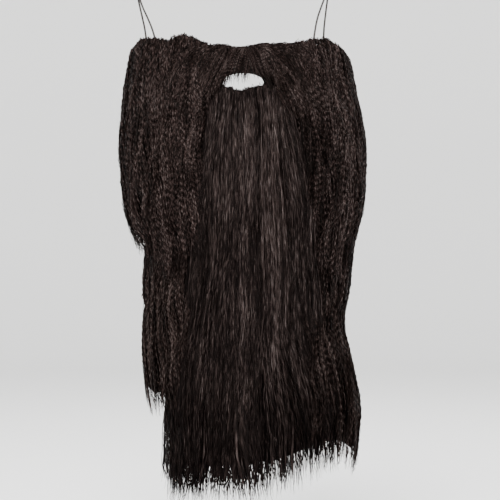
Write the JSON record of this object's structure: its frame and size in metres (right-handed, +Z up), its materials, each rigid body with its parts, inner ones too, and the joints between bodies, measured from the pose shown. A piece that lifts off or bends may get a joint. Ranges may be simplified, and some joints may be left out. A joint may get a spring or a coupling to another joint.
{
  "type": "long costume beard with moustache and ear loops",
  "caption": "Long full costume beard with attached moustache: crimped hair tiers on a curved cloth backing with a mouth opening, and elastic loops for the ears.",
  "frame": {"origin": "middle of the mouth opening, on the backing's inner face, where it seats on the lips", "axes": "+Z up along the hanging hair, front towards -Y, +X to the right of someone who looks at the front"},
  "size_m": [0.2123, 0.1461, 0.4455],
  "materials": {
    "backing_cloth": "matt knitted backing cloth, near black",
    "moustache_hair": "synthetic hair, soft sheen, warm near black",
    "crimped_hair": "finely crimped synthetic hair, matt with fine glints",
    "straight_hair": "brushed-out synthetic hair, silky long highlights",
    "elastic": "thin round covered elastic, near black"
  },
  "bodies": {
    "root": {"backing": "backing_cloth", "moustache_left": "moustache_hair", "moustache_right": "moustache_hair", "cheek_fall_left": "crimped_hair", "cheek_fall_right": "crimped_hair", "under_fall_left": "crimped_hair", "under_fall_right": "crimped_hair", "chin_fall": "straight_hair", "ear_loop_left": "elastic", "ear_loop_right": "elastic"}
  },
  "joints": []
}
